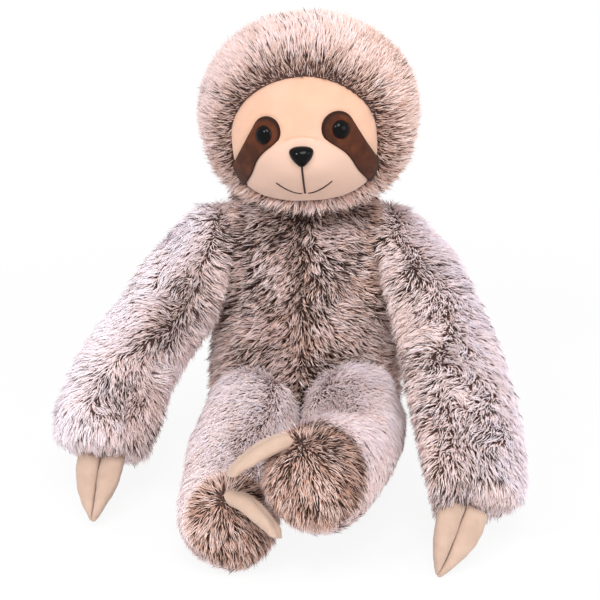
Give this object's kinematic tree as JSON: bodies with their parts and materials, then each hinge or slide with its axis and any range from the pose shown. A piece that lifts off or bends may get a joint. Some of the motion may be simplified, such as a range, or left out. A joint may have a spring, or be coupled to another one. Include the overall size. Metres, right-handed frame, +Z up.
{
  "type": "plush sloth",
  "caption": "Long-limbed plush sloth, sitting with its feet crossed, with a sewn face, plastic eyes and nose and stuffed claws.",
  "frame": {"origin": "middle of the flat underside that the sloth sits on", "axes": "+Z up, the face looks along -Y, +X to the sloth's left"},
  "size_m": [0.4656, 0.3976, 0.476],
  "materials": {
    "long_plush": "long two-tone plush fur, pale pink tips over dark brown roots",
    "fibre_filling": "loose white fibre filling",
    "cream_short_pile": "smooth cream short pile",
    "brown_suede": "matt brown suede cloth",
    "beige_short_pile": "smooth beige short pile",
    "black_gloss_plastic": "polished black",
    "washer_plastic": "plain translucent white",
    "dark_thread": "matt dark thread"
  },
  "bodies": {
    "torso": {"torso_skin": "long_plush", "torso_stuffing": "fibre_filling"},
    "head": {"head_skin": "long_plush", "head_stuffing": "fibre_filling", "forehead_panel": "cream_short_pile", "muzzle_panel": "cream_short_pile", "right_eye_patch": "brown_suede", "left_eye_patch": "brown_suede", "right_eye": "black_gloss_plastic", "left_eye": "black_gloss_plastic", "right_eye_washer": "washer_plastic", "left_eye_washer": "washer_plastic", "nose": "black_gloss_plastic", "nose_washer": "washer_plastic", "mouth_line_thread": "dark_thread", "right_smile_thread": "dark_thread", "left_smile_thread": "dark_thread"},
    "right_arm": {"right_arm_skin": "long_plush", "right_arm_stuffing": "fibre_filling"},
    "right_leg": {"right_leg_skin": "long_plush", "right_leg_stuffing": "fibre_filling"},
    "right_hand_claws": {"right_hand_first_claw": "beige_short_pile", "right_hand_second_claw": "beige_short_pile"},
    "right_foot_claws": {"right_foot_first_claw": "beige_short_pile", "right_foot_second_claw": "beige_short_pile"},
    "left_arm": {"left_arm_skin": "long_plush", "left_arm_stuffing": "fibre_filling"},
    "left_leg": {"left_leg_skin": "long_plush", "left_leg_stuffing": "fibre_filling"},
    "left_hand_claws": {"left_hand_first_claw": "beige_short_pile", "left_hand_second_claw": "beige_short_pile"},
    "left_foot_claws": {"left_foot_first_claw": "beige_short_pile", "left_foot_second_claw": "beige_short_pile"}
  },
  "joints": [
    {"name": "neck_turn", "type": "hinge", "parent": "torso", "child": "head", "pos_m": [0, 0, 0.298], "axis": [0, 0, 1], "range_deg": [-40, 40]},
    {"name": "right_shoulder_swing", "type": "hinge", "parent": "torso", "child": "right_arm", "pos_m": [-0.095, -0.006, 0.243], "axis": [-0.9703, 0, 0.2419], "range_deg": [-35, 70]},
    {"name": "left_shoulder_swing", "type": "hinge", "parent": "torso", "child": "left_arm", "pos_m": [0.095, -0.006, 0.243], "axis": [0.9703, 0, 0.2419], "range_deg": [-40, 60]},
    {"name": "right_hip_spread", "type": "hinge", "parent": "torso", "child": "right_leg", "pos_m": [-0.101, -0.0328, 0.068], "axis": [0, 0, -1], "range_deg": [0, 20]},
    {"name": "left_hip_raise", "type": "hinge", "parent": "torso", "child": "left_leg", "pos_m": [0.055, -0.082, 0.114], "axis": [-1, 0, 0], "range_deg": [0, 50]},
    {"name": "right_hand_claw_flex", "type": "hinge", "parent": "right_arm", "child": "right_hand_claws", "pos_m": [-0.21164, -0.14255, 0.05667], "axis": [0.9959, -0.0197, 0.0886], "range_deg": [-15, 15], "stiffness_Nm_per_rad": 0.02},
    {"name": "left_hand_claw_flex", "type": "hinge", "parent": "left_arm", "child": "left_hand_claws", "pos_m": [0.15353, -0.24001, 0.05293], "axis": [0.8345, -0.0888, -0.5439], "range_deg": [-15, 15], "stiffness_Nm_per_rad": 0.02},
    {"name": "right_foot_claw_swing", "type": "hinge", "parent": "right_leg", "child": "right_foot_claws", "pos_m": [-0.06977, -0.26392, 0.08133], "axis": [0.1008, -0.4742, 0.8746], "range_deg": [-30, 0], "stiffness_Nm_per_rad": 0.02},
    {"name": "left_foot_claw_swing", "type": "hinge", "parent": "left_leg", "child": "left_foot_claws", "pos_m": [-0.01126, -0.26896, 0.14], "axis": [-0.4951, -0.142, 0.8572], "range_deg": [-30, 0], "stiffness_Nm_per_rad": 0.02}
  ]
}
